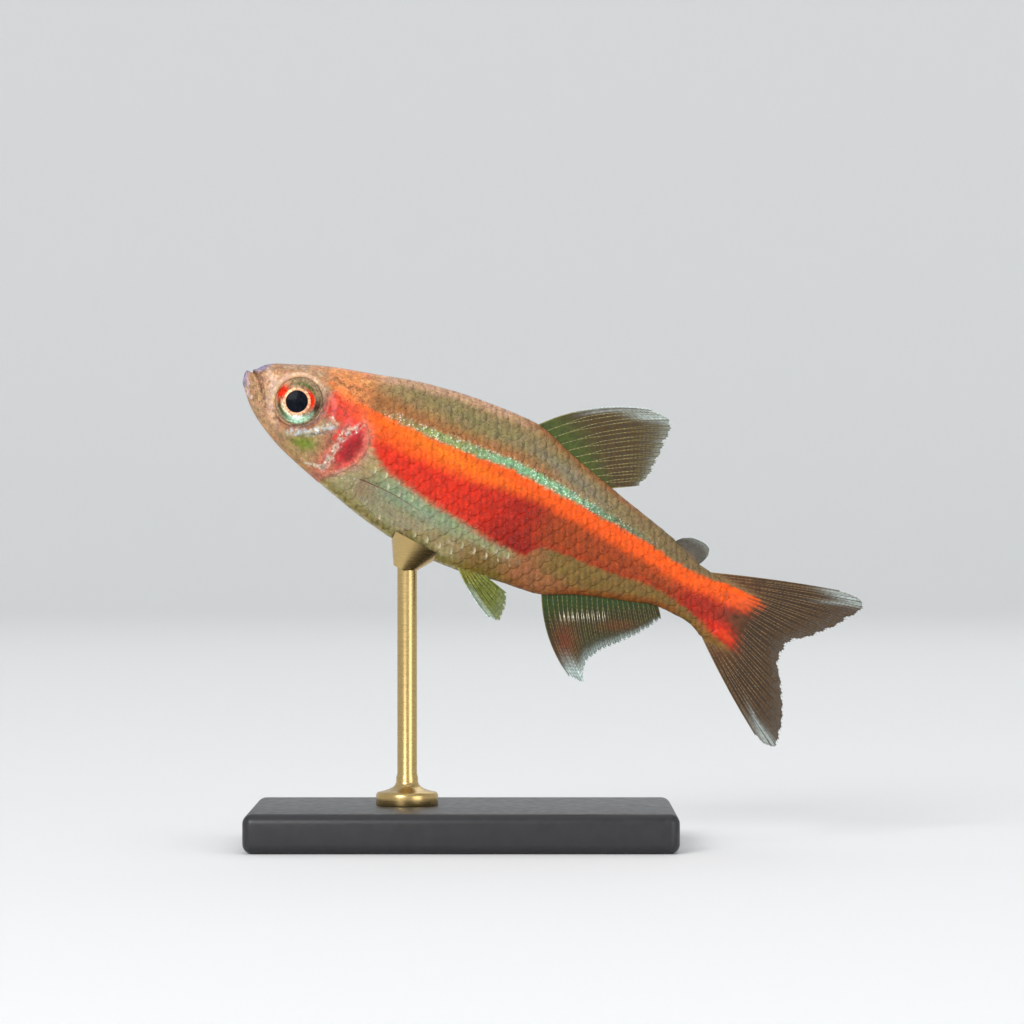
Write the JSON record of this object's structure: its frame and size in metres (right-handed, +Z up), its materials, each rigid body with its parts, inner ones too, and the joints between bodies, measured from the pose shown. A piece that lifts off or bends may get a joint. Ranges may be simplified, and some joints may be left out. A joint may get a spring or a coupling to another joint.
{
  "type": "glowlight tetra",
  "caption": "Small freshwater fish swimming nose up, a still life-size model held by a short rod on a flat display base.",
  "frame": {"origin": "on the surface that the stand rests on, under the middle of the whole part", "axes": "+X from the fish's head towards its tail, +Y towards its right side, +Z up"},
  "size_m": [0.0378, 0.018, 0.0294],
  "materials": {
    "flesh": "wet skin and small scales, olive back, glowing orange-red stripe, pale belly",
    "gill_cover": "crimson and silver skin with a wet gloss",
    "eye": "clear wet eye, black pupil, thin pink ring, silver-green and red iris",
    "fin": "thin smoky see-through membrane with fine rays and pale tips",
    "stand_base": "satin black",
    "stand_rod": "brushed brass"
  },
  "bodies": {
    "root": {"head": "flesh", "lower_jaw": "flesh", "gill_cover_left": "gill_cover", "gill_cover_right": "gill_cover", "eye_left": "eye", "eye_right": "eye", "trunk": "flesh", "tail_stalk": "flesh", "dorsal_fin": "fin", "adipose_fin": "fin", "anal_fin": "fin", "caudal_fin": "fin", "pelvic_fin_left": "fin", "pelvic_fin_right": "fin", "pectoral_fin_left": "fin", "pectoral_fin_right": "fin", "stand_base": "stand_base", "stand_rod": "stand_rod"}
  },
  "joints": []
}
